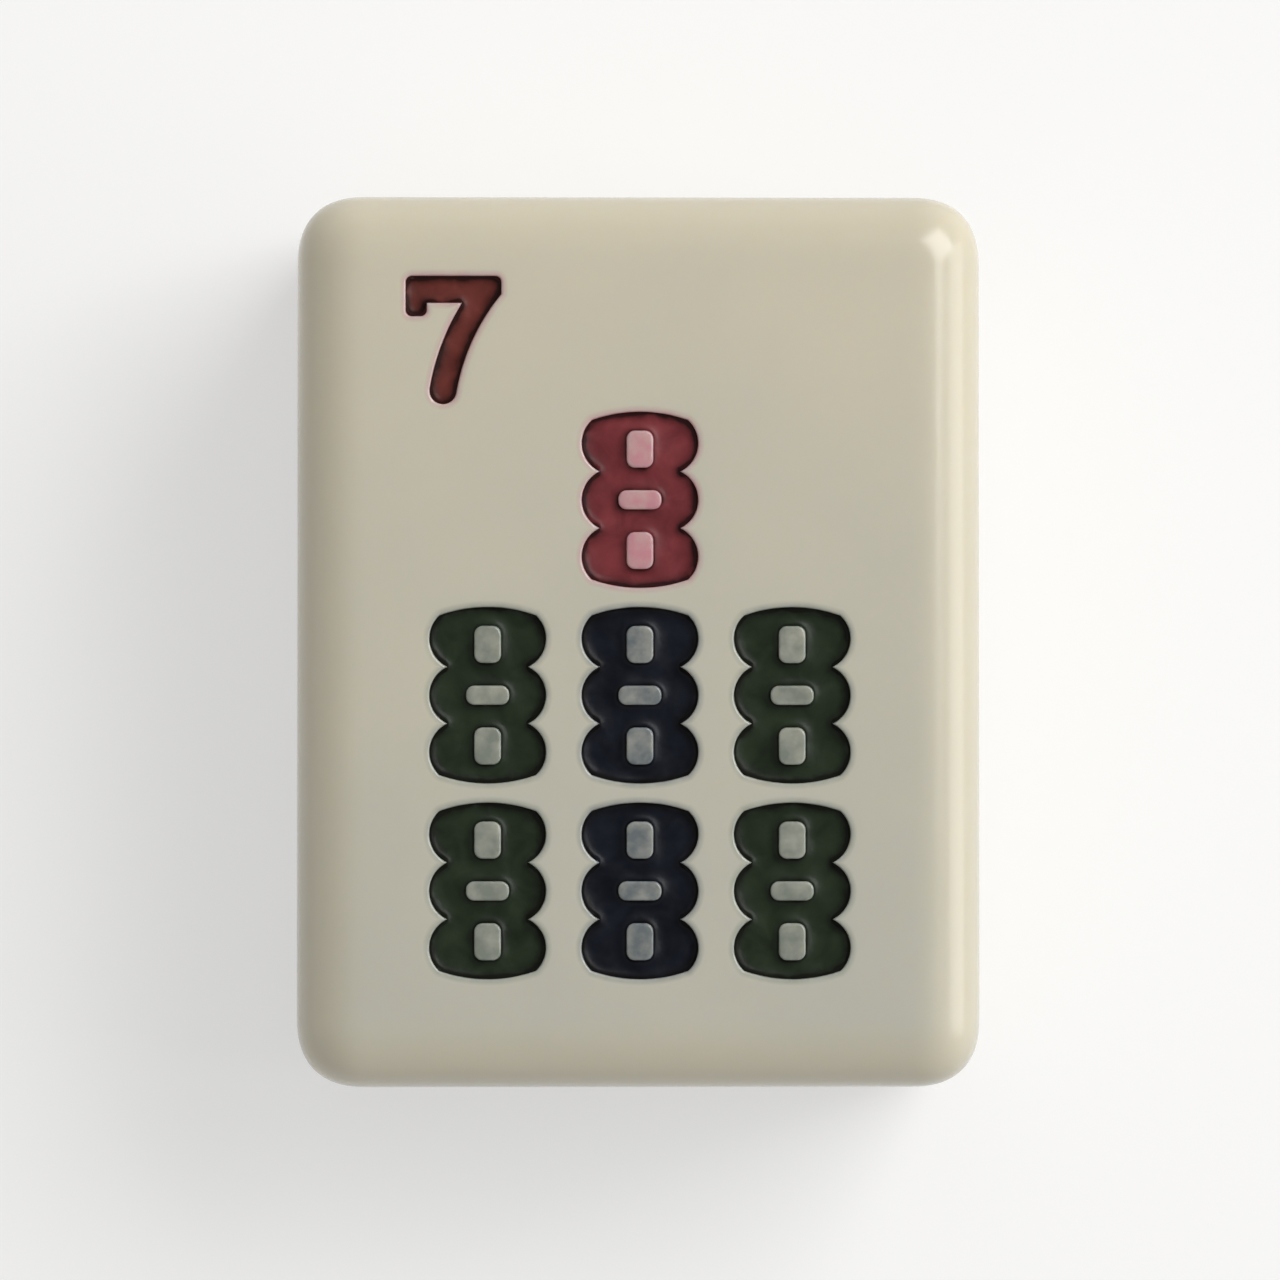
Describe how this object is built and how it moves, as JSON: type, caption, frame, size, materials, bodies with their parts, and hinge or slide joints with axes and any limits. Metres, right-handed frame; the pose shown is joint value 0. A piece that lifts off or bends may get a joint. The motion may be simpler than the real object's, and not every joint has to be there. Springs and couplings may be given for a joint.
{
  "type": "mahjong tile",
  "caption": "Rounded mahjong tile: a moulded ivory block with engraved bamboo sticks and a corner numeral in its face, filled with enamel paint. Game piece.",
  "frame": {"origin": "middle of the tile's back face, on the surface that the tile lies on", "axes": "+Z out of the engraved face, +Y up the face towards the numeral, +X to the right across the face"},
  "size_m": [0.023, 0.03, 0.014],
  "materials": {
    "ivory_melamine": "polished moulded melamine, ivory all through",
    "red_paint": "crimson enamel wiped into the engraving",
    "green_paint": "dark green enamel wiped into the engraving",
    "navy_paint": "navy enamel wiped into the engraving"
  },
  "bodies": {
    "root": {"tile_block": "ivory_melamine", "index_numeral_paint": "red_paint", "stick_top_paint": "red_paint", "stick_mid_left_paint": "green_paint", "stick_mid_centre_paint": "navy_paint", "stick_mid_right_paint": "green_paint", "stick_low_left_paint": "green_paint", "stick_low_centre_paint": "navy_paint", "stick_low_right_paint": "green_paint"}
  },
  "joints": []
}
